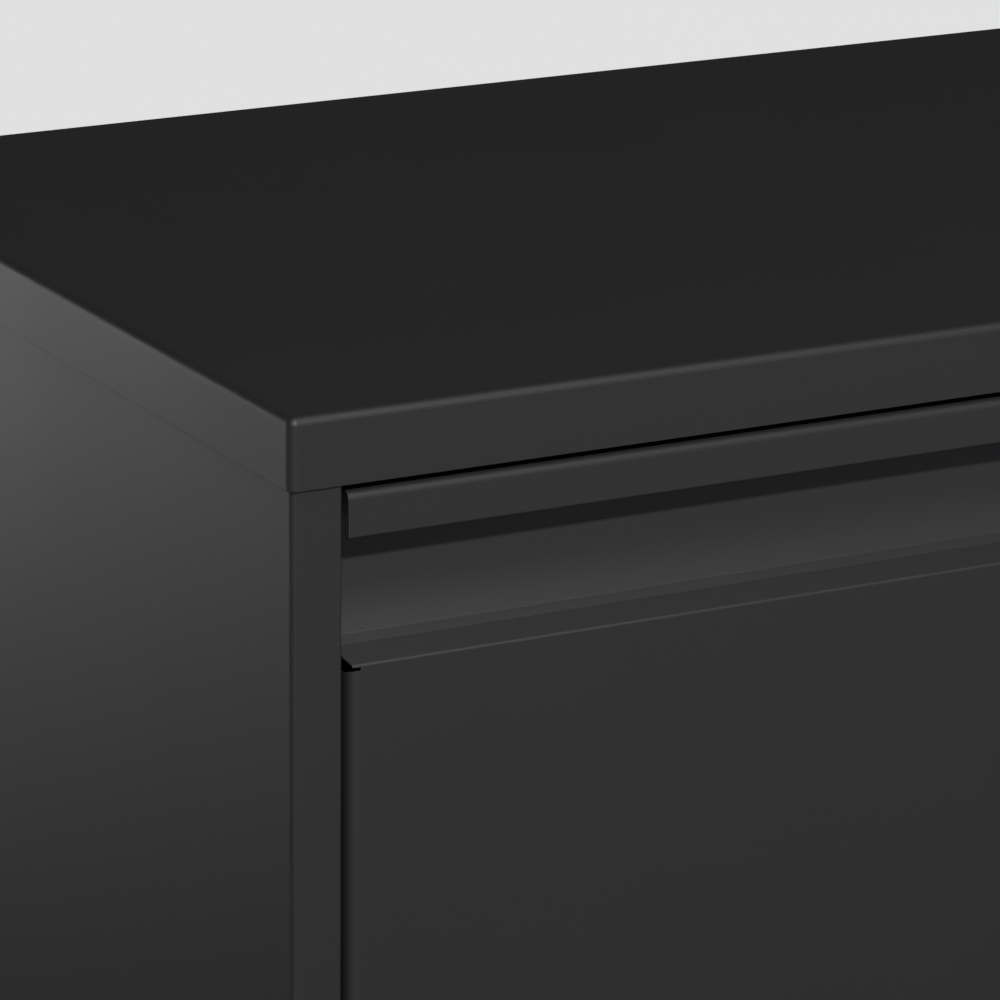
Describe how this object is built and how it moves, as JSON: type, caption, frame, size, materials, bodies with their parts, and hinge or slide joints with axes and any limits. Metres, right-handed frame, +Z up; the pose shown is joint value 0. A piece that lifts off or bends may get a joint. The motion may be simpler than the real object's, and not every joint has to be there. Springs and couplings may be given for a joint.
{
  "type": "lateral filing cabinet",
  "caption": "Waist-high black steel lateral filing cabinet with full-width recessed pulls, ball-bearing drawer slides, a bar lock and levelling glides.",
  "frame": {"origin": "centre of the footprint, on the floor", "axes": "+X to the right seen from the front, +Y from the drawer fronts to the back, +Z up"},
  "size_m": [0.9144, 0.4592, 0.7207],
  "materials": {
    "cabinet_paint": "black satin powder coat",
    "inner_paint": "thin black powder coat inside",
    "zinc_plate": "bright zinc plate",
    "slide_zinc": "clear zinc plate",
    "lock_chrome": "polished nickel chrome",
    "glide_nylon": "moulded black nylon",
    "bumper_rubber": "matt black rubber",
    "raw_steel": "mill scale"
  },
  "bodies": {
    "case": {"top_cap": "cabinet_paint", "left_side_panel": "cabinet_paint", "right_side_panel": "cabinet_paint", "back_panel": "cabinet_paint", "bottom_panel": "inner_paint", "base_front_rail": "cabinet_paint", "top_front_rail": "inner_paint", "mid_rail": "inner_paint", "upright_front_left": "inner_paint", "upright_front_right": "inner_paint", "upright_rear_left": "inner_paint", "upright_rear_right": "inner_paint", "counterweight": "raw_steel", "lock_housing": "lock_chrome", "upper_drawer_slide_outer_left": "slide_zinc", "upper_drawer_slide_outer_right": "slide_zinc", "lower_drawer_slide_outer_left": "slide_zinc", "lower_drawer_slide_outer_right": "slide_zinc"},
    "upper_drawer": {"upper_drawer_front": "cabinet_paint", "upper_drawer_inner_front": "inner_paint", "upper_drawer_side_left": "inner_paint", "upper_drawer_side_right": "inner_paint", "upper_drawer_bottom": "inner_paint", "upper_drawer_back": "inner_paint", "upper_drawer_folder_rail_front": "zinc_plate", "upper_drawer_folder_rail_rear": "zinc_plate", "upper_drawer_lock_catch": "zinc_plate", "upper_drawer_bumper_left": "bumper_rubber", "upper_drawer_bumper_right": "bumper_rubber", "upper_drawer_slide_inner_left": "slide_zinc", "upper_drawer_slide_inner_right": "slide_zinc"},
    "upper_drawer_middle_member_left": {"upper_drawer_slide_middle_left": "slide_zinc"},
    "upper_drawer_middle_member_right": {"upper_drawer_slide_middle_right": "slide_zinc"},
    "lower_drawer": {"lower_drawer_front": "cabinet_paint", "lower_drawer_inner_front": "inner_paint", "lower_drawer_side_left": "inner_paint", "lower_drawer_side_right": "inner_paint", "lower_drawer_bottom": "inner_paint", "lower_drawer_back": "inner_paint", "lower_drawer_folder_rail_front": "zinc_plate", "lower_drawer_folder_rail_rear": "zinc_plate", "lower_drawer_lock_catch": "zinc_plate", "lower_drawer_bumper_left": "bumper_rubber", "lower_drawer_bumper_right": "bumper_rubber", "lower_drawer_slide_inner_left": "slide_zinc", "lower_drawer_slide_inner_right": "slide_zinc"},
    "lower_drawer_middle_member_left": {"lower_drawer_slide_middle_left": "slide_zinc"},
    "lower_drawer_middle_member_right": {"lower_drawer_slide_middle_right": "slide_zinc"},
    "lock_plug_and_cam": {"lock_plug": "lock_chrome", "lock_cam": "zinc_plate"},
    "lock_bar": {"lock_bar": "zinc_plate"},
    "glide_front_left": {"glide_foot_front_left": "glide_nylon", "glide_stem_front_left": "zinc_plate"},
    "glide_front_right": {"glide_foot_front_right": "glide_nylon", "glide_stem_front_right": "zinc_plate"},
    "glide_rear_left": {"glide_foot_rear_left": "glide_nylon", "glide_stem_rear_left": "zinc_plate"},
    "glide_rear_right": {"glide_foot_rear_right": "glide_nylon", "glide_stem_rear_right": "zinc_plate"}
  },
  "joints": [
    {"name": "upper_drawer_slide", "type": "slide", "parent": "case", "child": "upper_drawer", "axis": [0, -1, 0], "range_m": [0, 0.38]},
    {"name": "upper_drawer_middle_member_left_slide", "type": "slide", "parent": "case", "child": "upper_drawer_middle_member_left", "axis": [0, -1, 0], "range_m": [0, 0.19]},
    {"name": "upper_drawer_middle_member_right_slide", "type": "slide", "parent": "case", "child": "upper_drawer_middle_member_right", "axis": [0, -1, 0], "range_m": [0, 0.19]},
    {"name": "lower_drawer_slide", "type": "slide", "parent": "case", "child": "lower_drawer", "axis": [0, -1, 0], "range_m": [0, 0.38]},
    {"name": "lower_drawer_middle_member_left_slide", "type": "slide", "parent": "case", "child": "lower_drawer_middle_member_left", "axis": [0, -1, 0], "range_m": [0, 0.19]},
    {"name": "lower_drawer_middle_member_right_slide", "type": "slide", "parent": "case", "child": "lower_drawer_middle_member_right", "axis": [0, -1, 0], "range_m": [0, 0.19]},
    {"name": "lock_turn", "type": "hinge", "parent": "case", "child": "lock_plug_and_cam", "pos_m": [0.4, -0.2276, 0.7072], "axis": [0, -1, 0], "range_deg": [0, 90]},
    {"name": "lock_bar_slide", "type": "slide", "parent": "case", "child": "lock_bar", "axis": [0, 0, 1], "range_m": [0, 0.006]},
    {"name": "glide_front_left_screw", "type": "slide", "parent": "case", "child": "glide_front_left", "axis": [0, 0, -1], "range_m": [0, 0.015]},
    {"name": "glide_front_right_screw", "type": "slide", "parent": "case", "child": "glide_front_right", "axis": [0, 0, -1], "range_m": [0, 0.015]},
    {"name": "glide_rear_left_screw", "type": "slide", "parent": "case", "child": "glide_rear_left", "axis": [0, 0, -1], "range_m": [0, 0.015]},
    {"name": "glide_rear_right_screw", "type": "slide", "parent": "case", "child": "glide_rear_right", "axis": [0, 0, -1], "range_m": [0, 0.015]}
  ],
  "couplings": [
    {"joint": "upper_drawer_middle_member_left_slide", "follows": "upper_drawer_slide", "ratio": 0.5},
    {"joint": "upper_drawer_middle_member_right_slide", "follows": "upper_drawer_slide", "ratio": 0.5},
    {"joint": "lower_drawer_middle_member_left_slide", "follows": "lower_drawer_slide", "ratio": 0.5},
    {"joint": "lower_drawer_middle_member_right_slide", "follows": "lower_drawer_slide", "ratio": 0.5},
    {"joint": "lock_turn", "follows": "lock_bar_slide", "rad_per_m": 261.79}
  ]
}
